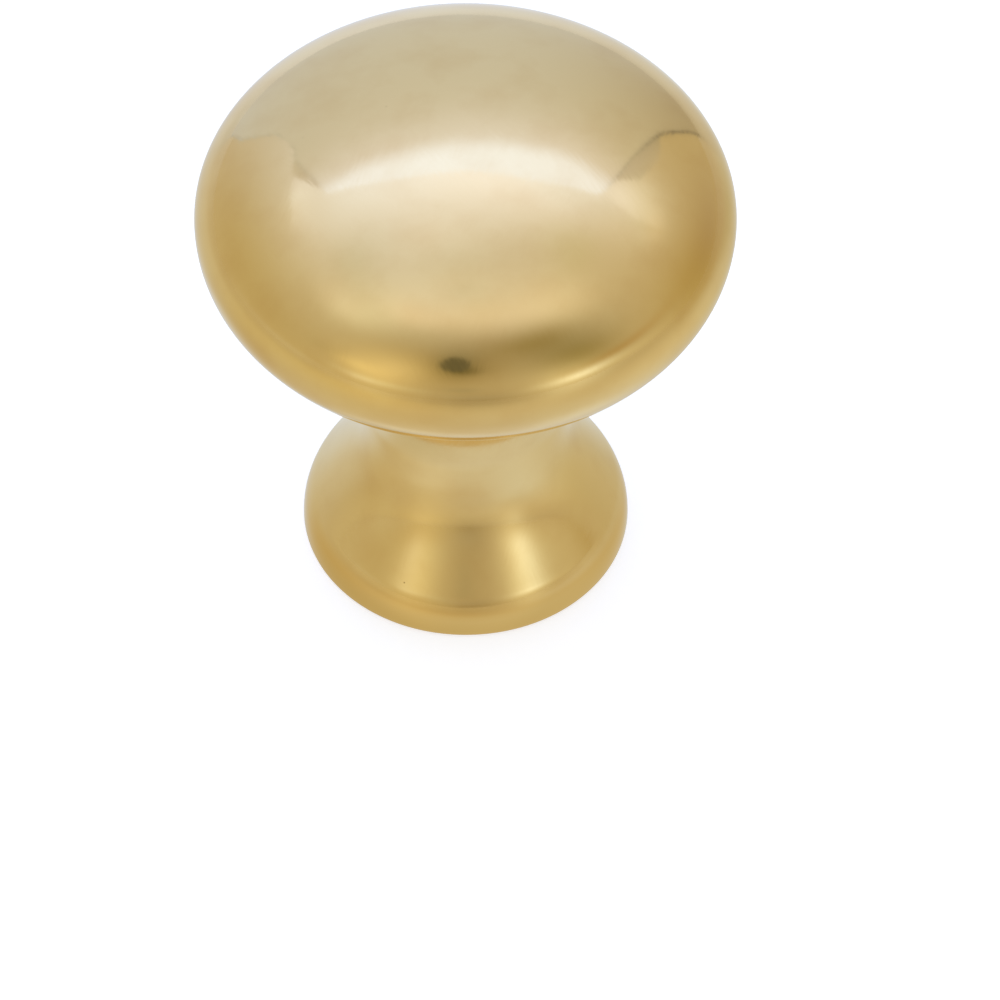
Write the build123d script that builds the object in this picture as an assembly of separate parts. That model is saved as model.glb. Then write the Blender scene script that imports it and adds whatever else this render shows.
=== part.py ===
from build123d import *
from math import acos, cos, degrees, hypot, radians, sin, tan
import os

# A cabinet knob of solid brass, turned and polished in one piece. An oblate head stands on a waisted
# neck, which flares to a bell-shaped foot with a flat base and a blind tapped hole up its middle.
# Millimetres. The origin is the middle of the base, and +Z points out of the cabinet, up to the crown.

# Head: two half ellipses that meet at its widest line
HEAD_DIAMETER = 27.0
WIDEST_LINE_HEIGHT = 22.9
CROWN_RISE = 5.9
UNDERSIDE_DROP = 7.1

# Neck: it is narrowest at the waist, and runs out into the underside of the head at the collar
WAIST_DIAMETER = 10.4
WAIST_HEIGHT = 9.3
COLLAR_DIAMETER = 17.0
COVE_FULLNESS = 0.23

# Foot: a small round edge at the base, a round shoulder above it, then the flare up to the waist, which is
# nearly straight at the shoulder and curves in just under the waist
FOOT_DIAMETER = 16.8
BASE_EDGE_RADIUS = 0.4
SHOULDER_RADIUS = 3.85
SHOULDER_TURN = 33.0
FLARE_FULLNESS_LOW = 0.56
FLARE_FULLNESS_HIGH = 0.36

# Hole: blind, tapped 8-32, drilled to the tap's core size and lightly countersunk
TAP_DRILL_DIAMETER = 3.45
DRILLED_DEPTH = 12.0
DRILL_POINT_ANGLE = 118.0
COUNTERSINK_DIAMETER = 4.6
COUNTERSINK_ANGLE = 90.0


def sweep(start, start_direction, end, end_direction, start_fullness, end_fullness):
    """A smooth curve between two points, leaving and arriving along the given unit directions."""
    span = hypot(end[0] - start[0], end[1] - start[1])
    out = start_fullness * span
    back = end_fullness * span
    leaving = (start[0] + out * start_direction[0], start[1] + out * start_direction[1])
    arriving = (end[0] - back * end_direction[0], end[1] - back * end_direction[1])
    return Bezier(start, leaving, arriving, end)


def foot_outline():
    """The base's round edge and the shoulder above it. Returns the shoulder's end and direction."""
    foot_radius = FOOT_DIAMETER / 2
    edge_centre = (foot_radius - BASE_EDGE_RADIUS, BASE_EDGE_RADIUS)
    shoulder_centre = (foot_radius - SHOULDER_RADIUS, BASE_EDGE_RADIUS)
    CenterArc(edge_centre, BASE_EDGE_RADIUS, start_angle=-90, arc_size=90)
    CenterArc(shoulder_centre, SHOULDER_RADIUS, start_angle=0, arc_size=SHOULDER_TURN)
    turn = radians(SHOULDER_TURN)
    shoulder_end = (
        shoulder_centre[0] + SHOULDER_RADIUS * cos(turn),
        shoulder_centre[1] + SHOULDER_RADIUS * sin(turn),
    )
    return shoulder_end, (-sin(turn), cos(turn))


def head_outline():
    """The underside from the collar out to the widest line, and the crown from the axis down to it.

    Returns the collar's point and the direction in which the underside leaves it.
    """
    head_radius = HEAD_DIAMETER / 2
    widest_centre = (0, WIDEST_LINE_HEIGHT)
    collar_angle = acos(COLLAR_DIAMETER / HEAD_DIAMETER)
    below = degrees(collar_angle)
    EllipticalCenterArc(widest_centre, head_radius, UNDERSIDE_DROP, -below, arc_size=below)
    EllipticalCenterArc(widest_centre, head_radius, CROWN_RISE, 90, arc_size=-90)
    collar = (COLLAR_DIAMETER / 2, WIDEST_LINE_HEIGHT - UNDERSIDE_DROP * sin(collar_angle))
    slope = (head_radius * sin(collar_angle), UNDERSIDE_DROP * cos(collar_angle))
    length = hypot(slope[0], slope[1])
    return collar, (slope[0] / length, slope[1] / length)


def hole_outline():
    """The tapped hole's drill point, wall and countersink. Returns its deepest point and its mouth."""
    wall_radius = TAP_DRILL_DIAMETER / 2
    mouth_radius = COUNTERSINK_DIAMETER / 2
    point_depth = wall_radius / tan(radians(DRILL_POINT_ANGLE / 2))
    countersink_depth = (mouth_radius - wall_radius) / tan(radians(COUNTERSINK_ANGLE / 2))
    deepest = (0, DRILLED_DEPTH + point_depth)
    mouth = (mouth_radius, 0)
    Polyline(deepest, (wall_radius, DRILLED_DEPTH), (wall_radius, countersink_depth), mouth)
    return deepest, mouth


def knob():
    """The half-section turned about the axis."""
    waist = (WAIST_DIAMETER / 2, WAIST_HEIGHT)
    upward = (0, 1)
    with BuildPart() as body:
        with BuildSketch(Plane.XZ):
            with BuildLine():
                deepest, mouth = hole_outline()
                Line(mouth, (FOOT_DIAMETER / 2 - BASE_EDGE_RADIUS, 0))
                shoulder_end, shoulder_direction = foot_outline()
                fullness = (FLARE_FULLNESS_LOW, FLARE_FULLNESS_HIGH)
                sweep(shoulder_end, shoulder_direction, waist, upward, *fullness)
                collar, collar_direction = head_outline()
                sweep(waist, upward, collar, collar_direction, COVE_FULLNESS, COVE_FULLNESS)
                Line((0, WIDEST_LINE_HEIGHT + CROWN_RISE), deepest)
            make_face()
        revolve(axis=Axis.Z)
    return body.part


os.makedirs("parts", exist_ok=True)
export_step(knob(), "parts/knob.step")
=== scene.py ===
from math import acos, atan2, cos, degrees, exp, hypot, pi, radians, sin, tan

import bmesh
import bpy
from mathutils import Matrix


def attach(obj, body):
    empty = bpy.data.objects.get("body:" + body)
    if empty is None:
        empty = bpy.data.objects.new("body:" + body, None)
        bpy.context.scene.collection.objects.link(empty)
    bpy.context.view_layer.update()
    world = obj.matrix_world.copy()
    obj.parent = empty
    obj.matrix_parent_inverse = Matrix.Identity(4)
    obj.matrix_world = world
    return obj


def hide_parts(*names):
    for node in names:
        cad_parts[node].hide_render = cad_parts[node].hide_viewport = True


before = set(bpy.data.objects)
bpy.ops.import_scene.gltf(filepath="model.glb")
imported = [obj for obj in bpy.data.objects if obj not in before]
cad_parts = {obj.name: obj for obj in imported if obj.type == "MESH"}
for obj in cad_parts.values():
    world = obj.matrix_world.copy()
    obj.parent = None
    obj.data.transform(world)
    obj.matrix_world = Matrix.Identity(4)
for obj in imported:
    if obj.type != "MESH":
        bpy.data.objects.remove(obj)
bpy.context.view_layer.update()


# The knob
# One piece of solid brass, turned to a flowing half-section and buffed bright all over. It is held from
# behind the drawer front, through the tapped hole in its flat base. Sizes in millimetres.
MILLIMETRE = 0.001
HEAD_DIAMETER = 27.0
WIDEST_LINE_HEIGHT = 22.9
CROWN_RISE = 5.9
UNDERSIDE_DROP = 7.1
WAIST_DIAMETER = 10.4
WAIST_HEIGHT = 9.3
COLLAR_DIAMETER = 17.0
COVE_FULLNESS = 0.23
FOOT_DIAMETER = 16.8
BASE_EDGE_RADIUS = 0.4
SHOULDER_RADIUS = 3.85
SHOULDER_TURN = radians(33.0)
FLARE_FULLNESS_LOW = 0.56
FLARE_FULLNESS_HIGH = 0.36
TAP_DRILL_DIAMETER = 3.45
DRILLED_DEPTH = 12.0
DRILL_POINT_ANGLE = radians(118.0)
COUNTERSINK_DIAMETER = 4.6
THREAD_DIAMETER = 4.166
THREAD_PITCH = 25.4 / 32
THREAD_ROOT_FLAT = THREAD_PITCH / 8
THREAD_FLANK_ANGLE = radians(30.0)
THREAD_DEPTH_TAPPED = 10.4
THREAD_RUN_OUT = 1.2

# Into how many lengths each stretch of the half-section is cut, from the base up, and then the hole and
# the full turn.
EDGE_STEPS = 8
SHOULDER_STEPS = 20
FLARE_STEPS = 40
COVE_STEPS = 40
UNDERSIDE_STEPS = 44
CROWN_STEPS = 72
HOLE_STEPS = 150
ROUND_STEPS = 192


def oval_arc(centre, across, up, start, end, steps):
    """Points along part of an oval, without its first point."""
    turns = [start + (end - start) * step / steps for step in range(1, steps + 1)]
    return [(centre[0] + across * cos(turn), centre[1] + up * sin(turn)) for turn in turns]


def sweep(start, start_direction, end, end_direction, start_fullness, end_fullness, steps):
    """Points along a smooth curve that leaves and arrives as directed, without its first point."""
    span = hypot(end[0] - start[0], end[1] - start[1])
    corners = [
        start,
        [start[i] + start_fullness * span * start_direction[i] for i in (0, 1)],
        [end[i] - end_fullness * span * end_direction[i] for i in (0, 1)],
        end,
    ]
    points = []
    for step in range(1, steps + 1):
        t = step / steps
        weights = [(1 - t) ** 3, 3 * t * (1 - t) ** 2, 3 * t * t * (1 - t), t ** 3]
        points.append([sum(w * corner[i] for w, corner in zip(weights, corners)) for i in (0, 1)])
    return points


def outside_of_knob():
    """The half-section's outer line, from the base's rim up to just short of the crown's middle."""
    foot = FOOT_DIAMETER / 2
    head = HEAD_DIAMETER / 2
    edge_centre = (foot - BASE_EDGE_RADIUS, BASE_EDGE_RADIUS)
    edge = (BASE_EDGE_RADIUS, BASE_EDGE_RADIUS)
    shoulder_centre = (foot - SHOULDER_RADIUS, BASE_EDGE_RADIUS)
    shoulder = (SHOULDER_RADIUS, SHOULDER_RADIUS)
    shoulder_direction = (-sin(SHOULDER_TURN), cos(SHOULDER_TURN))
    waist = (WAIST_DIAMETER / 2, WAIST_HEIGHT)
    upward = (0, 1)
    flare = (FLARE_FULLNESS_LOW, FLARE_FULLNESS_HIGH)
    cove = (COVE_FULLNESS, COVE_FULLNESS)
    widest_centre = (0, WIDEST_LINE_HEIGHT)
    below = acos(COLLAR_DIAMETER / HEAD_DIAMETER)
    collar = (COLLAR_DIAMETER / 2, WIDEST_LINE_HEIGHT - UNDERSIDE_DROP * sin(below))
    slope = (head * sin(below), UNDERSIDE_DROP * cos(below))
    collar_direction = [part / hypot(*slope) for part in slope]
    line = [(foot - BASE_EDGE_RADIUS, 0)]
    line += oval_arc(edge_centre, *edge, -pi / 2, 0, EDGE_STEPS)
    line += oval_arc(shoulder_centre, *shoulder, 0, SHOULDER_TURN, SHOULDER_STEPS)
    line += sweep(line[-1], shoulder_direction, waist, upward, *flare, FLARE_STEPS)
    line += sweep(waist, upward, collar, collar_direction, *cove, COVE_STEPS)
    line += oval_arc(widest_centre, head, UNDERSIDE_DROP, -below, 0, UNDERSIDE_STEPS)
    line += oval_arc(widest_centre, head, CROWN_RISE, 0, pi / 2, CROWN_STEPS)[:-1]
    return line


def thread_rise(turns):
    """How far the thread is cut out of the hole's wall, from 0 at its crest to 1 at its root."""
    flank = (THREAD_DIAMETER - TAP_DRILL_DIAMETER) / 2 * tan(THREAD_FLANK_ANGLE)
    from_root = abs(turns - round(turns)) * THREAD_PITCH - THREAD_ROOT_FLAT / 2
    return min(1, max(0, 1 - from_root / flank))


def hole_radius(height, angle):
    """The tapped hole's radius: a right-hand thread that runs out near its top.

    Its mouth is opened by a countersink of 90 degrees.
    """
    core = TAP_DRILL_DIAMETER / 2
    cut = (THREAD_DIAMETER - TAP_DRILL_DIAMETER) / 2
    cut *= min(1, max(0, (THREAD_DEPTH_TAPPED - height) / THREAD_RUN_OUT))
    threaded = core + cut * thread_rise(height / THREAD_PITCH - angle / (2 * pi))
    return max(threaded, COUNTERSINK_DIAMETER / 2 - height)


def knob_mesh():
    """The knob as one closed skin: up the outside to the crown, and up the hole from the same base."""
    shape = bmesh.new()
    angles = [2 * pi * step / ROUND_STEPS for step in range(ROUND_STEPS)]
    neighbours = [(step, (step + 1) % ROUND_STEPS) for step in range(ROUND_STEPS)]

    def ring(radii, height):
        points = [(r * cos(angle), r * sin(angle), height) for r, angle in zip(radii, angles)]
        return [shape.verts.new([part * MILLIMETRE for part in point]) for point in points]

    def face(corners, inward):
        shape.faces.new(corners[::-1] if inward else corners).smooth = True

    def skin(lower, upper, inward):
        for i, j in neighbours:
            face((lower[i], lower[j], upper[j], upper[i]), inward)

    def close(last, height, inward):
        middle = shape.verts.new((0, 0, height * MILLIMETRE))
        for i, j in neighbours:
            face((last[i], last[j], middle), inward)

    hole_heights = [DRILLED_DEPTH * step / HOLE_STEPS for step in range(HOLE_STEPS + 1)]
    hole = [ring([hole_radius(z, angle) for angle in angles], z) for z in hole_heights]
    outside = [ring([radius] * ROUND_STEPS, z) for radius, z in outside_of_knob()]
    for lower, upper in zip(hole, hole[1:]):
        skin(lower, upper, inward=True)
    for lower, upper in zip(outside, outside[1:]):
        skin(lower, upper, inward=False)
    close(hole[-1], DRILLED_DEPTH + TAP_DRILL_DIAMETER / 2 / tan(DRILL_POINT_ANGLE / 2), inward=True)
    close(outside[-1], WIDEST_LINE_HEIGHT + CROWN_RISE, inward=False)
    skin(hole[0], outside[0], inward=False)
    for sharp_ring in (hole[0], hole[-1], outside[0]):
        for i, j in neighbours:
            shape.edges.get((sharp_ring[i], sharp_ring[j])).smooth = False
    mesh = bpy.data.meshes.new("knob_turned")
    shape.to_mesh(mesh)
    shape.free()
    return mesh


def linear(hex_colour):
    """An sRGB hex colour as linear red, green, blue and alpha."""
    parts = [int(hex_colour[i:i + 2], 16) / 255 for i in (0, 2, 4)]
    return [p / 12.92 if p <= 0.04045 else ((p + 0.055) / 1.055) ** 2.4 for p in parts] + [1.0]


def node(material, kind, inputs=(), **settings):
    """Adds a node. Inputs pairs each socket with a value, an output, or a node for its first output."""
    added = material.node_tree.nodes.new("ShaderNode" + kind)
    for name, value in settings.items():
        setattr(added, name, value)
    for socket, value in dict(inputs).items():
        if isinstance(value, bpy.types.Node):
            value = value.outputs[0]
        if isinstance(value, bpy.types.NodeSocket):
            material.node_tree.links.new(value, added.inputs[socket])
        else:
            added.inputs[socket].default_value = value
    return added


def per_millimetre(size):
    """The scale that gives a pattern this size in millimetres, on a part measured in metres."""
    return 1 / (size * MILLIMETRE)


# Polished brass, buffed by hand on a cotton wheel: bright and mirror-like, with a pale gold colour. Low
# on the foot that colour is painted deeper, as painted shade for the warm shade and warm reflections
# close to the paper under the head. Slow waves from the buffing bend the reflections, and hairlines that
# change direction from patch to patch soften them. A few tiny pits and faint stains break the surface.
# The base is left as the lathe faced it, with rings. Real hairlines and rings are several times finer,
# and are drawn this coarse so that they show.
BRASS = "F0D599"
STAINED_BRASS = "E6C688"
# Painted shade: the deeper gold low on the foot, near the paper.
FOOT_SHADE_BRASS = "E8C378"
PIT_DARK = "6B5226"
# Painted shade: the grooves between the lathe rings on the base are coloured this darker brass.
GROOVE_SHADE_BRASS = "A8894F"
BUFFED_ROUGHNESS = (0.06, 0.11)
WAVE_LENGTH = 3.2
WAVE_HEIGHT = 0.008
WAVE_DETAIL = 1.0
HAIRLINE_LENGTH = 1.0
HAIRLINE_WIDTH = 0.14
HAIRLINE_TURNS = (-53, 71)
HAIRLINE_HEIGHT = 0.001
HAIRLINE_DETAIL = 2.0
HAIRLINE_RANGE = (0.3, 0.7)
PATCH_EDGE = (0.46, 0.54)
STAIN_SIZE = 2.4
STAIN_DETAIL = 4.0
STAIN_EDGE = (0.45, 0.75)
STAIN_MOST = 0.5
# Painted shade low on the foot: full below the first height, gone above the second.
FOOT_SHADE_FULL_HEIGHT = 1.5
FOOT_SHADE_TOP_HEIGHT = 2.4
PIT_SPACING = 2.6
PIT_RADIUS = 0.07
PIT_DEPTH = 0.02
PIT_ROUGHER = 0.3
BASE_REACH = 0.01
BASE_ROUGHER = 0.12
LATHE_RING_PITCH = 0.22
LATHE_RING_HEIGHT = 0.002
LATHE_RING_WANDER = 0.3
# The most of that painted groove shade.
GROOVE_SHADE_MOST = 0.35
# A wave texture of scale 1 repeats after this length.
WAVE_TEXTURE_REPEAT = pi / 10

polished_brass = bpy.data.materials.new("polished_brass")
polished_brass.use_nodes = True
place = node(polished_brass, "TexCoord").outputs["Object"]
height_here = node(polished_brass, "SeparateXYZ", {0: place}).outputs["Z"]
waves = node(
    polished_brass,
    "TexNoise",
    {"Vector": place, "Scale": per_millimetre(WAVE_LENGTH), "Detail": WAVE_DETAIL},
)
stains = node(
    polished_brass,
    "TexNoise",
    {"Vector": place, "Scale": per_millimetre(STAIN_SIZE), "Detail": STAIN_DETAIL},
)
stain_share = node(
    polished_brass,
    "MapRange",
    {"Value": stains, "From Min": STAIN_EDGE[0], "From Max": STAIN_EDGE[1], "To Max": STAIN_MOST},
)
strokes = []
for turn in HAIRLINE_TURNS:
    along_stroke = node(
        polished_brass,
        "Mapping",
        {
            "Vector": place,
            "Rotation": (0, 0, radians(turn)),
            "Scale": [size * MILLIMETRE for size in (HAIRLINE_LENGTH, HAIRLINE_WIDTH, HAIRLINE_LENGTH)],
        },
        vector_type="TEXTURE",
    )
    stroke = node(
        polished_brass, "TexNoise", {"Vector": along_stroke, "Scale": 1.0, "Detail": HAIRLINE_DETAIL}
    )
    strokes.append(stroke)
patch = node(
    polished_brass, "MapRange", {"Value": stains, "From Min": PATCH_EDGE[0], "From Max": PATCH_EDGE[1]}
)
hairlines = node(polished_brass, "Mix", {0: patch, 2: strokes[0], 3: strokes[1]})
# Painted shade: the deeper gold low on the foot.
painted_foot_shade = node(
    polished_brass,
    "MapRange",
    {
        "Value": height_here,
        "From Min": FOOT_SHADE_TOP_HEIGHT * MILLIMETRE,
        "From Max": FOOT_SHADE_FULL_HEIGHT * MILLIMETRE,
    },
    interpolation_type="SMOOTHSTEP",
)
pits = node(polished_brass, "TexVoronoi", {"Vector": place, "Scale": per_millimetre(PIT_SPACING)})
pit_chance = node(polished_brass, "SeparateColor", {0: pits.outputs["Color"]})
pit_reach = node(
    polished_brass, "Math", {0: pit_chance, 1: PIT_RADIUS / PIT_SPACING}, operation="MULTIPLY"
)
pit = node(
    polished_brass,
    "MapRange",
    {"Value": pits.outputs["Distance"], "From Min": pit_reach, "From Max": 0.0},
    interpolation_type="SMOOTHSTEP",
)
on_base = node(
    polished_brass, "Math", {0: height_here, 1: BASE_REACH * MILLIMETRE}, operation="LESS_THAN"
)
rings = node(
    polished_brass,
    "TexWave",
    {
        "Vector": place,
        "Scale": per_millimetre(LATHE_RING_PITCH) * WAVE_TEXTURE_REPEAT,
        "Distortion": LATHE_RING_WANDER,
    },
    wave_type="RINGS",
    rings_direction="Z",
).outputs["Fac"]
lathe_rings = node(polished_brass, "Math", {0: rings, 1: on_base}, operation="MULTIPLY")
# Painted shade, darker in the grooves of the lathe rings.
painted_groove_shade = node(polished_brass, "Math", {0: lathe_rings, 1: GROOVE_SHADE_MOST}, operation="MULTIPLY")

relief = node(polished_brass, "Math", {0: waves, 1: WAVE_HEIGHT * MILLIMETRE}, operation="MULTIPLY")
for pattern, height in (
    (hairlines, HAIRLINE_HEIGHT), (pit, -PIT_DEPTH), (lathe_rings, LATHE_RING_HEIGHT),
):
    relief = node(
        polished_brass,
        "Math",
        {0: pattern, 1: height * MILLIMETRE, 2: relief},
        operation="MULTIPLY_ADD",
    )
bump = node(polished_brass, "Bump", {"Height": relief, "Distance": 1.0, "Strength": 1.0})
# In a colour mix, sockets 0, 6 and 7 are the share and the two colours, and output 2 is the result.
tone = linear(BRASS)
for share, colour in (
    (stain_share, STAINED_BRASS), (painted_foot_shade, FOOT_SHADE_BRASS), (pit, PIT_DARK), (painted_groove_shade, GROOVE_SHADE_BRASS),
):
    tone = node(
        polished_brass, "Mix", {0: share, 6: tone, 7: linear(colour)}, data_type="RGBA"
    ).outputs[2]
gloss = node(
    polished_brass,
    "MapRange",
    {
        "Value": hairlines,
        "From Min": HAIRLINE_RANGE[0],
        "From Max": HAIRLINE_RANGE[1],
        "To Min": BUFFED_ROUGHNESS[0],
        "To Max": BUFFED_ROUGHNESS[1],
    },
)
for share, rougher in ((pit, PIT_ROUGHER), (on_base, BASE_ROUGHER)):
    gloss = node(polished_brass, "Math", {0: share, 1: rougher, 2: gloss}, operation="MULTIPLY_ADD")
surface = polished_brass.node_tree.nodes["Principled BSDF"]
surface.inputs["Metallic"].default_value = 1.0
for socket, value in (
    ("Base Color", tone), ("Roughness", gloss.outputs[0]), ("Normal", bump.outputs[0]),
):
    polished_brass.node_tree.links.new(value, surface.inputs[socket])

knob = bpy.data.objects.new("knob_body", knob_mesh())
bpy.context.scene.collection.objects.link(knob)
knob.data.materials.append(polished_brass)
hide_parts("knob")
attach(knob, "root")


# The light tent
# A tent of white cloth around the knob, sewn from panels and lit by a strip of LEDs along the top of
# its flat back wall. It is open to a dim room behind the camera. The knob sees it and is lit by it, and
# the camera doesn't see it. Metres and degrees.
HEAD_CENTRE = WIDEST_LINE_HEIGHT * MILLIMETRE
CLOTH_DISTANCE = 1.5
LOWEST = -2.0
LOW_CLOTH = (0.59, 0.53, 0.39)
HIGH_CLOTH = (0.73, 0.735, 0.72)
CLOTH_RISE = (10, 85)
# Pools of light and shade on the cloth: azimuth from straight behind, elevation, the two reaches, and
# the light that each one adds or takes away.
POOLS = {
    "strip_right": (13, 56, 18, 12, (0.24, 0.31, 0.62)),
    "strip_left": (-24, 50, 24, 13, (0.17, 0.22, 0.42)),
    "rear_left": (-23, 37, 23, 46, (0.12, 0.24, 0.64)),
    "rear_right": (48, 44, 11, 8.7, (0.18, 0.25, 0.40)),
    "side_right": (79, 14, 20, 102, (-0.06, -0.09, -0.17)),
    "window_top": (-155, 38, 12, 14, (0.17, 0.17, 0.16)),
    "window": (-146, 24, 14, 23, (0.28, 0.24, 0.12)),
    "window_sill": (-148, 11, 16, 4, (0.07, 0.11, 0.13)),
    "window_low": (-142, 9, 7, 4, (0.07, 0.09, 0.14)),
    "window_left": (-137, 25, 9, 6, (0.11, 0.10, 0.05)),
    "front_shade": (181, 17, 6, 3.5, (-0.06, -0.04, -0.02)),
    "card": (136, 9, 15, 5.7, (0.24, 0.30, 0.34)),
    "card_wall": (141, 12, 12, 19, (0.26, 0.27, 0.23)),
    "dark_corner": (132, 36, 16, 21.5, (-0.29, -0.29, -0.32)),
    "room": (192, 46, 29, 22.5, (-0.28, -0.32, -0.39)),
    "room_edge_right": (137, 58, 16, 9.6, (-0.14, -0.16, -0.21)),
    "front_low": (176, -2, 16, 15, (-0.16, -0.155, -0.125)),
    "ceiling_front": (178, 79, 15, 9.4, (0.11, 0.10, 0.11)),
    "ceiling_left": (-113, 63, 11, 14, (0.17, 0.20, 0.22)),
    "ceiling_right": (109, 65, 11, 12, (0.24, 0.25, 0.29)),
    "left_low": (-127, -5, 48, 15, (0.02, 0.0, -0.06)),
    "left_wall": (-87, 23, 39, 19, (-0.02, -0.03, -0.07)),
    "right_low": (63, 7, 20, 18, (-0.08, -0.09, -0.04)),
    "right_wall": (66, 41, 27, 17, (0.04, 0.05, 0.10)),
    "camera_shade": (184, 46, 7, 11.6, (-0.16, -0.12, -0.06)),
    "camera_shade_low": (180, 40, 6, 4, (-0.12, -0.10, -0.07)),
    "strip_glow": (6, 52, 35, 20, (0.04, 0.03, 0.14)),
    "strip_end_right": (24, 53, 10, 6, (0.06, 0.17, 0.42)),
    "strip_end_left": (-24, 54, 12, 5, (0.02, 0.06, 0.18)),
    "flap_right": (43, 47, 7, 4.5, (0.09, 0.12, 0.30)),
    "flap_left": (-45, 43.5, 4, 3, (0.05, 0.07, 0.14)),
    "corner_right": (54, 64, 9, 6, (-0.06, -0.06, -0.16)),
    "corner_left": (-66, 64, 9, 6, (-0.06, -0.06, -0.12)),
    "pole_left": (-102, 56, 9, 6, (0.09, 0.10, 0.14)),
    "front_right": (138, 72, 14, 9, (0.08, 0.07, 0.10)),
    "front_left": (-132, 72, 9, 6, (0.11, 0.08, 0.09)),
    "card_middle": (137, 8.5, 8, 4.5, (0.13, 0.19, 0.34)),
    "over_card": (120, 16, 20, 5, (-0.05, -0.10, -0.13)),
    "beside_card": (120, 4, 20, 5, (0.06, 0.06, 0.04)),
    "ceiling_back": (-18, 72, 9, 6, (0.05, 0.05, 0.08)),
    "fold_light_left": (-54, 44, 6, 4, (0.05, 0.07, 0.10)),
    "fold_light_right": (60, 40, 6, 4, (0.08, 0.07, 0.07)),
    "right_skirting": (105, 0, 22, 4.5, (0.02, 0.02, 0.02)),
    "left_skirting": (-112, 0, 27, 4.5, (0.03, 0.05, 0.09)),
    "front_skirting": (180, 5, 14, 4, (0.015, 0.025, 0.04)),
    "left_dim": (-124, 26, 7, 6, (-0.045, -0.04, -0.035)),
}


def ease(low, high, value):
    """From 0 at low to 1 at high, with a soft start and end."""
    t = min(1, max(0, (value - low) / (high - low)))
    return t * t * (3 - 2 * t)


def add_light(level, light, share):
    return [a + b * share for a, b in zip(level, light)]


def pool_light(level, pools, azimuth, elevation):
    """Adds pools of light and shade to a level, as they are in a direction from the knob's head."""
    for middle, height, across, up, light in pools.values():
        aside = (azimuth - middle + 180) % 360 - 180
        aside *= cos(radians(elevation)) / across
        level = add_light(level, light, exp(-aside ** 2 - ((elevation - height) / up) ** 2))
    return level


def cloth_glow(azimuth, elevation):
    """How bright the cloth is in a direction from the knob's head."""
    rise = [high - low for low, high in zip(LOW_CLOTH, HIGH_CLOTH)]
    level = add_light(LOW_CLOTH, rise, ease(*CLOTH_RISE, elevation))
    return pool_light(level, POOLS, azimuth, elevation)


# White nylon cloth, plain woven and lit through from outside: an even glow, with soft pools of light
# and shade. It is seen only in the metal, where its weave doesn't show.
tent_cloth = bpy.data.materials.new("tent_cloth")
tent_cloth.use_nodes = True
tent_cloth.node_tree.nodes.clear()
glow = node(tent_cloth, "VertexColor", layer_name="glow")
cloth_light = node(tent_cloth, "Emission", {"Color": glow})
node(tent_cloth, "OutputMaterial", {"Surface": cloth_light})
tent_cloth.cycles.emission_sampling = "NONE"


def hang_cloth(name, columns, rows, place, level, cloth=tent_cloth):
    """Hangs a cloth of columns by rows on the stage, with a place and a level of light for each point."""
    shape = bmesh.new()
    layer = shape.verts.layers.float_color.new("glow")
    grid = []
    for column in range(columns + 1):
        for row in range(rows + 1):
            point = shape.verts.new(place(column / columns, row / rows))
            point[layer] = (*level(column / columns, row / rows), 1)
            grid.append(point)
    for column in range(columns):
        for row in range(rows):
            first = column * (rows + 1) + row
            after = first + rows + 1
            shape.faces.new((grid[first], grid[after], grid[after + 1], grid[first + 1]))
    mesh = bpy.data.meshes.new(name)
    shape.to_mesh(mesh)
    shape.free()
    mesh.materials.append(cloth)
    hung = bpy.data.objects.new(name, mesh)
    bpy.context.scene.collection.objects.link(hung)
    hung.visible_camera = cloth is not tent_cloth


def hang_towards(name, columns, rows, direction, nearness, level):
    """Hangs a cloth by directions from the knob's head, at a share of the tent's distance."""

    def place(u, v):
        azimuth, elevation = (radians(part) for part in direction(u, v))
        distance = nearness * CLOTH_DISTANCE
        flat = distance * cos(elevation)
        return flat * sin(azimuth), flat * cos(azimuth), HEAD_CENTRE + distance * sin(elevation)

    hang_cloth(name, columns, rows, place, level)


def dome_direction(u, v):
    return -180 + 360 * u, LOWEST + (90 - LOWEST) * v


hang_towards(
    "tent_dome",
    columns=180,
    rows=60,
    direction=dome_direction,
    nearness=1,
    level=lambda u, v: cloth_glow(*dome_direction(u, v)),
)

# The back wall is cool, dimmer at its sides, and brightest in a band under the strip at its top.
BACK_WALL_DISTANCE = 0.28
BACK_WALL_HEIGHT = 0.457
# Its upper edge, which sags in the middle, and the lower edge of the bright band: distances aside and
# heights.
WALL_TOP = (
    (-0.3, 0.462), (-0.10, 0.465), (-0.04, 0.454), (0, 0.447), (0.04, 0.454), (0.10, 0.468),
    (0.3, 0.474),
)
BAND_EDGE = (
    (-0.24, 0.446), (-0.19, 0.428), (-0.15, 0.404), (-0.10, 0.386), (-0.05, 0.375), (0, 0.357),
    (0.05, 0.355), (0.10, 0.358), (0.15, 0.375), (0.19, 0.398), (0.24, 0.42),
)
# Its two side seams, from the floor up: heights and distances aside. The cloth sags between the tent's
# poles.
SEAMS = {
    "seam_left": (
        (0, -0.207), (0.071, -0.2225), (0.12, -0.214), (0.175, -0.1955), (0.21, -0.1947),
        (0.251, -0.200), (0.281, -0.217), (0.381, -0.2286), (BACK_WALL_HEIGHT, -0.241),
    ),
    "seam_right": (
        (0, 0.2025), (0.088, 0.202), (0.156, 0.1943), (0.1845, 0.1958), (0.27, 0.2035), (0.341, 0.215),
        (0.389, 0.2212), (BACK_WALL_HEIGHT, 0.226),
    ),
}
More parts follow.
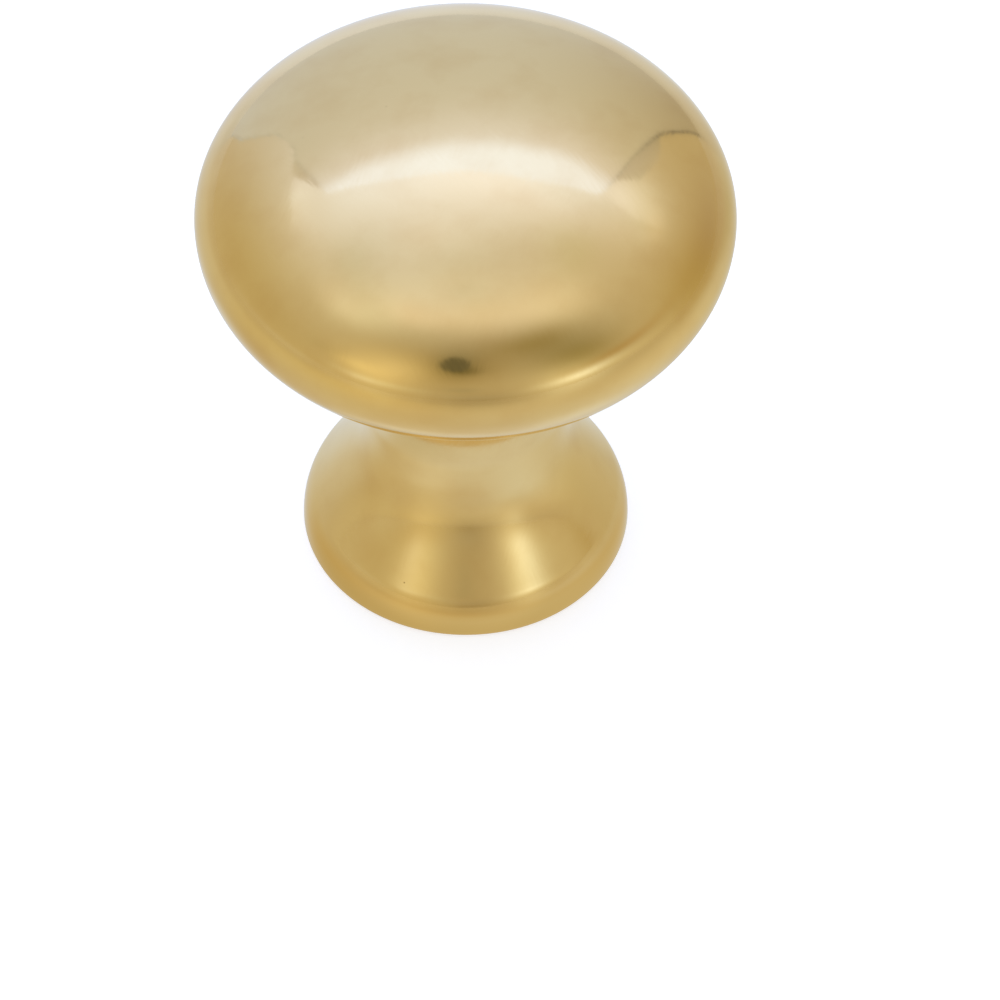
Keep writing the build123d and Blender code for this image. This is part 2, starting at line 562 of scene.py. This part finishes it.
# Its light in the middle at the floor, and what is added higher up, at each side, low on the right,
# close under the band and in the band, with the distances over which each one comes in.
WALL_LIGHT = (0.652, 0.738, 0.985)
WALL_HIGHER = (0.045, 0.008, -0.085)
WALL_RIGHT = (-0.033, -0.086, -0.246)
WALL_LOW_RIGHT = (-0.136, -0.198, -0.336)
WALL_LEFT = (-0.01, -0.014, -0.005)
BAND_GLOW = (0.17, 0.213, 0.492)
BAND_LIGHT = (0.22, 0.385, 0.97)
WALL_HIGHER_REACH = 0.4
WALL_SIDE_REACH = 0.2
WALL_LOW_REACH = 0.3
BAND_GLOW_REACH = 0.09
BAND_BLUR = (-0.04, 0.03)


def between_points(points, value):
    """The second numbers of a row of pairs, read off straight lines between them at a first number."""
    for (low, start), (high, end) in zip(points, points[1:]):
        if value <= high:
            break
    return start + (end - start) * (value - low) / (high - low)


def back_wall_place(u, v):
    left, right = (between_points(points, BACK_WALL_HEIGHT * v) for points in SEAMS.values())
    x = left + (right - left) * u
    return x, BACK_WALL_DISTANCE, between_points(WALL_TOP, x) * v


def back_wall_glow(x, z):
    """How bright the back wall is at a distance aside and a height."""
    edge = between_points(BAND_EDGE, x)
    right = ease(0, WALL_SIDE_REACH, x)
    level = add_light(WALL_LIGHT, WALL_HIGHER, ease(0, WALL_HIGHER_REACH, z))
    level = add_light(level, WALL_RIGHT, right)
    level = add_light(level, WALL_LOW_RIGHT, right * (1 - ease(0, WALL_LOW_REACH, z)))
    level = add_light(level, WALL_LEFT, ease(0, WALL_SIDE_REACH, -x))
    level = add_light(level, BAND_GLOW, exp(-(max(edge - z, 0) / BAND_GLOW_REACH) ** 2))
    return add_light(level, BAND_LIGHT, ease(*BAND_BLUR, z - edge))


hang_cloth(
    "tent_back",
    columns=40,
    rows=60,
    place=back_wall_place,
    level=lambda u, v: back_wall_glow(*back_wall_place(u, v)[::2]),
)

# The sewn seams at both sides of the back wall show as darker lines, strongest low down on the right.
# Each has its width, and its share of the wall's light by height.
SEAM_STAND_OFF = 0.002
SEAM_WIDTH = {"seam_left": 0.004, "seam_right": 0.006}
SEAM_SHARE = {
    "seam_left": (
        (0, 0.86), (0.16, 0.80), (0.21, 0.96), (0.25, 0.85), (0.30, 0.80), (0.38, 0.86),
        (BACK_WALL_HEIGHT, 0.96),
    ),
    "seam_right": (
        (0, 0.65), (0.06, 0.50), (0.16, 0.50), (0.22, 0.62), (0.27, 0.74), (0.36, 0.70), (0.40, 0.85),
        (BACK_WALL_HEIGHT, 0.98),
    ),
}


def hang_seam(seam):
    def place(u, v):
        z = BACK_WALL_HEIGHT * v
        x = between_points(SEAMS[seam], z) + SEAM_WIDTH[seam] * (u - 0.5)
        return x, BACK_WALL_DISTANCE - SEAM_STAND_OFF, z

    def level(u, v):
        x, y, z = place(u, v)
        return [part * between_points(SEAM_SHARE[seam], z) for part in back_wall_glow(x, z)]

    hang_cloth(seam, columns=1, rows=90, place=place, level=level)


for seam in SEAMS:
    hang_seam(seam)

# Folds in the tent's side walls. Each follows a line of directions, azimuth and elevation, with the
# reaches below and above it, and steps there from shade to light. It fades out at both ends of the line.
FOLDS = {
    "fold_left": (
        ((-36, 35.3), (-41.2, 38.7), (-45, 40.4), (-52.8, 43.7), (-60, 45.2), (-66, 46)),
        9, 12, (0.06, 0.08, 0.17),
    ),
    "fold_right": (
        ((38, 49.6), (45.9, 48.6), (53.5, 46.4), (59.2, 41.5), (63, 36.7), (65, 33)),
        12, 8, (-0.06, -0.07, -0.12),
    ),
}
FOLD_SHADE = 0.2
FOLD_FADE_START = 0.15
FOLD_FADE_END = 0.4
FOLD_NEARNESS = 0.99


def along(line, share):
    """The direction at a share of the way along a line of directions."""
    spot = share * (len(line) - 1)
    first = min(int(spot), len(line) - 2)
    return [a + (b - a) * (spot - first) for a, b in zip(line[first], line[first + 1])]


def hang_fold(fold, line, below, above, light):
    def direction(u, v):
        azimuth, elevation = along(line, u)
        return azimuth, elevation - below + (below + above) * v

    def level(u, v):
        over = v * (below + above) - below
        share = 1 - ease(0, above, over) if over > 0 else -FOLD_SHADE * ease(-below, 0, over)
        ends = ease(0, FOLD_FADE_START, u) * ease(0, FOLD_FADE_END, 1 - u)
        return add_light(cloth_glow(*direction(u, v)), light, share * ends)

    hang_towards(fold, columns=40, rows=42, direction=direction, nearness=FOLD_NEARNESS, level=level)


for fold, settings in FOLDS.items():
    hang_fold(fold, *settings)

# Gussets in the back wall's upper corners: small pieces of cloth in shade. Each has four corners,
# azimuth and elevation, with the light there.
GUSSETS = {
    "gusset_left": (
        ((-36.7, 35.5), (0.62, 0.65, 0.74)),
        ((-41.3, 38.7), (0.68, 0.71, 0.84)),
        ((-40.2, 47.6), (0.67, 0.68, 0.90)),
        ((-38.6, 45), (0.60, 0.60, 0.78)),
    ),
    "gusset_right": (
        ((33.4, 21), (0.46, 0.44, 0.39)),
        ((39.8, 29), (0.62, 0.58, 0.54)),
        ((42.2, 39.5), (0.63, 0.64, 0.68)),
        ((37.8, 45.5), (0.66, 0.66, 0.78)),
    ),
}
GUSSET_NEARNESS = 0.98


def blend(corners, u, v):
    """A value spread evenly between four corners' values."""
    near = [a + (b - a) * u for a, b in zip(corners[0], corners[1])]
    far = [a + (b - a) * u for a, b in zip(corners[3], corners[2])]
    return [a + (b - a) * v for a, b in zip(near, far)]


def hang_gusset(gusset, spots, lights):
    hang_towards(
        gusset,
        columns=8,
        rows=8,
        direction=lambda u, v: blend(spots, u, v),
        nearness=GUSSET_NEARNESS,
        level=lambda u, v: blend(lights, u, v),
    )


for gusset, corners in GUSSETS.items():
    hang_gusset(gusset, *zip(*corners))

# The dark middle of the opening that the picture is taken through, soft at its edge.
OPENING = (184.5, 46)
OPENING_REACH = (5.8, 8.4)
OPENING_DARK = (0.15, 0.14, 0.09)
OPENING_BLUR = (0.6, 1)
OPENING_NEARNESS = 0.97


def opening_direction(u, v):
    turn = 2 * pi * u
    aside = v * OPENING_REACH[0] * cos(turn) / cos(radians(OPENING[1]))
    return OPENING[0] + aside, OPENING[1] + v * OPENING_REACH[1] * sin(turn)


def opening_level(u, v):
    around = cloth_glow(*opening_direction(u, v))
    darker = [dark - part for dark, part in zip(OPENING_DARK, around)]
    return add_light(around, darker, 1 - ease(*OPENING_BLUR, v))


hang_towards(
    "opening",
    columns=40,
    rows=12,
    direction=opening_direction,
    nearness=OPENING_NEARNESS,
    level=opening_level,
)


# The floor
# White paper, laid flat under the knob. The camera sees it as white, and it keeps the knob's soft
# shadow. In the metal it shows its own uneven light, and at shallow angles a blurred mirror of the tent.
FLOOR_INSIDE = 0.0005
FLOOR_REACH = 3.0
# The paper lies a hair under the base, so that the two don't share a plane.
FLOOR_GAP = 0.02 * MILLIMETRE
# The light that the paper has over the cloth in the same direction, in pools given as those on the cloth:
# cooler near the back wall, and paler close to the knob. Far out at the sides and in front, it fades into
# the cloth's own.
FLOOR_LIGHT = (0.038, 0.07, 0.119)
FLOOR_POOLS = {
    "under_head": (0, -80, 680, 17, (-0.06, -0.07, -0.08)),
    "sweep_behind": (0, -4, 28, 36, (0.16, 0.28, 0.58)),
    "near_right": (48, -58, 67, 27, (0.08, 0.12, 0.16)),
    "near_front": (217, -42, 136, 30, (0.05, 0.09, 0.18)),
    "far_left": (-141, -33, 38, 53, (-0.01, -0.08, -0.23)),
    "left": (-95, -39, 16, 32, (-0.06, -0.11, -0.19)),
    "front_right": (130, -25, 44, 26, (0.02, -0.03, -0.12)),
    "far_right": (48, 3, 102, 16.5, (-0.10, -0.10, -0.10)),
    "back_right": (57, -50, 26, 11, (-0.06, -0.11, -0.20)),
    "back_left": (-36, -8, 8, 5, (-0.09, -0.10, -0.16)),
    "far_behind": (-6, -8, 60, 10, (0.10, 0.11, 0.14)),
    "far_front": (186, -12, 35, 20, (0.07, 0.06, 0.03)),
    "right": (96, -28, 35, 20, (0.08, 0.09, 0.08)),
    "left_side": (-102, -20, 35, 20, (0.07, 0.07, 0.03)),
    "left_behind": (-72, -44, 14, 9, (0.03, 0.05, 0.09)),
    "right_behind": (54, -16, 14, 9, (-0.05, -0.05, -0.11)),
    "right_edge": (84, -4, 20, 5, (0.10, 0.07, 0.04)),
    "front_near": (178, -60, 20, 11, (0.06, 0.10, 0.19)),
    "foot_shade_left": (-130, -66, 22, 8, (-0.05, -0.075, -0.11)),
    "foot_edge_left": (-132, -71, 12, 5, (-0.05, -0.045, -0.055)),
    "foot_shade_right": (98, -65, 30, 7, (-0.03, -0.06, -0.10)),
    "front_pale_right": (132, -56, 16, 9, (0.08, 0.13, 0.24)),
    "front_pale_left": (-146, -60, 14, 5, (0.11, 0.15, 0.22)),
    "foot_pale_front": (180, -66, 30, 4, (0.04, 0.07, 0.15)),
    "front_shade": (174, -56, 20, 5, (-0.05, -0.09, -0.15)),
    "behind_near": (-24, -72, 60, 10, (0.07, 0.12, 0.17)),
    "far_behind_right": (24, -4, 60, 10, (0.04, 0.03, 0.02)),
    "behind_left": (-14, -4, 10, 3, (0.09, 0.10, 0.16)),
    "behind_right": (24, -28, 9, 6, (0.05, 0.08, 0.10)),
    "behind_shade": (4, -14, 18, 6, (-0.05, -0.06, -0.08)),
    "left_floor_dim": (-96, -34, 28, 16, (-0.055, -0.06, -0.055)),
    "foot_pale_left": (-54, -60, 12, 6, (0.02, 0.06, 0.15)),
    "foot_dim_right": (56, -58, 12, 6, (-0.05, -0.065, -0.085)),
    "right_floor_dim": (62, -36, 20, 10, (-0.04, -0.045, -0.065)),
    "front_dim": (172, -48, 16, 8, (-0.04, -0.05, -0.05)),
    "left_pale": (-84, -68, 6, 4, (0.04, 0.10, 0.23)),
    "right_pale": (78, -20, 14, 9, (0.04, 0.06, 0.12)),
}
FADE_ELEVATION = (-14, -1)
FADE_AZIMUTH = (35, 60)


def floor_place(u, v):
    """Rings of the floor, from close around the axis to far away, each wider than the last."""
    turn = pi * (2 * u - 1)
    away = FLOOR_INSIDE * (FLOOR_REACH / FLOOR_INSIDE) ** v
    return away * sin(turn), away * cos(turn), -FLOOR_GAP


def floor_glow(u, v):
    x, y, z = floor_place(u, v)
    azimuth = degrees(atan2(x, y))
    elevation = -degrees(atan2(HEAD_CENTRE, hypot(x, y)))
    own = pool_light(FLOOR_LIGHT, FLOOR_POOLS, azimuth, elevation)
    near = 1 - ease(*FADE_ELEVATION, elevation) * ease(*FADE_AZIMUTH, abs(azimuth))
    return add_light(cloth_glow(azimuth, elevation), own, near)


# White paper, pressed smooth: matt, with a soft sheen at shallow angles. For the camera a cool light
# lifts it to white, which keeps the shadow at the foot neutral. It is clear from below, so that the base
# can be seen.
PAPER = "EDEDEB"
CAMERA_LIFT = 0.715
CAMERA_LIFT_COLOUR = "E2ECFF"
PAPER_IOR = 1.9
SHEEN_COLOUR = "FFFFFF"
SHEEN_ROUGHNESS = 0.3
SHEEN_MOST = 0.6
white_paper = bpy.data.materials.new("white_paper")
white_paper.use_nodes = True
white_paper.node_tree.nodes.clear()
ray = node(white_paper, "LightPath")
straight = node(
    white_paper,
    "Math",
    {0: ray.outputs["Is Camera Ray"], 1: ray.outputs["Is Transmission Ray"]},
    operation="MAXIMUM",
)
lift = node(white_paper, "Math", {0: straight, 1: CAMERA_LIFT}, operation="MULTIPLY")
lift_light = node(white_paper, "Emission", {"Color": linear(CAMERA_LIFT_COLOUR), "Strength": lift})
matt = node(white_paper, "BsdfDiffuse", {"Color": linear(PAPER)})
plain = node(white_paper, "AddShader", {0: matt, 1: lift_light})
glow = node(white_paper, "VertexColor", layer_name="glow")
own_light = node(white_paper, "Emission", {"Color": glow})
sheen = node(
    white_paper, "BsdfGlossy", {"Color": linear(SHEEN_COLOUR), "Roughness": SHEEN_ROUGHNESS}
)
shallow = node(white_paper, "Fresnel", {"IOR": PAPER_IOR})
shallow = node(white_paper, "Math", {0: shallow, 1: SHEEN_MOST}, operation="MINIMUM")
in_metal = node(white_paper, "MixShader", {0: shallow, 1: own_light, 2: sheen})
from_above = node(white_paper, "MixShader", {0: ray.outputs["Is Glossy Ray"], 1: plain, 2: in_metal})
clear = node(white_paper, "BsdfTransparent")
backfacing = node(white_paper, "NewGeometry").outputs["Backfacing"]
paper_side = node(white_paper, "MixShader", {0: backfacing, 1: from_above, 2: clear})
node(white_paper, "OutputMaterial", {"Surface": paper_side})
white_paper.cycles.emission_sampling = "NONE"
hang_cloth("floor", columns=90, rows=60, place=floor_place, level=floor_glow, cloth=white_paper)


# The backdrop
# A plain white room all round, outside the tent. It lights the paper that lies beyond the tent, and the
# camera sees it as white above the paper's far edge, as a mirror would.
BACKDROP = "FFFFFF"
BACKDROP_LIGHT = 0.5
BACKDROP_SEEN = 1.0
world = bpy.data.worlds.new("studio")
bpy.context.scene.world = world
world.use_nodes = True
backdrop = world.node_tree.nodes["Background"]
backdrop.inputs["Color"].default_value = linear(BACKDROP)
ray = node(world, "LightPath")
shown = ray.outputs["Is Camera Ray"]
for kind_of_ray in ("Is Transmission Ray", "Is Glossy Ray"):
    shown = node(world, "Math", {0: shown, 1: ray.outputs[kind_of_ray]}, operation="MAXIMUM")
strength = node(world, "MapRange", {"Value": shown, "To Min": BACKDROP_LIGHT, "To Max": BACKDROP_SEEN})
world.node_tree.links.new(strength.outputs[0], backdrop.inputs["Strength"])


# The camera
# A long lens, 0.4 m from the head, looking down on it at about 48 degrees. It is turned a fraction of a
# degree, as in the photograph.
FRAME_SIDE = 1000
FOCAL_LENGTH_PIXELS = 8038
SENSOR = 36.0
CAMERA_PLACE = (0.001775, -0.2699, 0.3182)
CAMERA_DOWN = 49.60
CAMERA_ROLL = -0.153
CAMERA_PAN = 0.18
camera = bpy.data.cameras.new("camera")
camera.sensor_width = SENSOR
camera.lens = FOCAL_LENGTH_PIXELS * SENSOR / FRAME_SIDE
viewer = bpy.data.objects.new("camera", camera)
viewer.location = CAMERA_PLACE
viewer.rotation_euler = (radians(90 - CAMERA_DOWN), radians(CAMERA_ROLL), radians(CAMERA_PAN))
bpy.context.scene.collection.objects.link(viewer)
bpy.context.scene.camera = viewer

bpy.context.scene.view_settings.view_transform = "Standard"
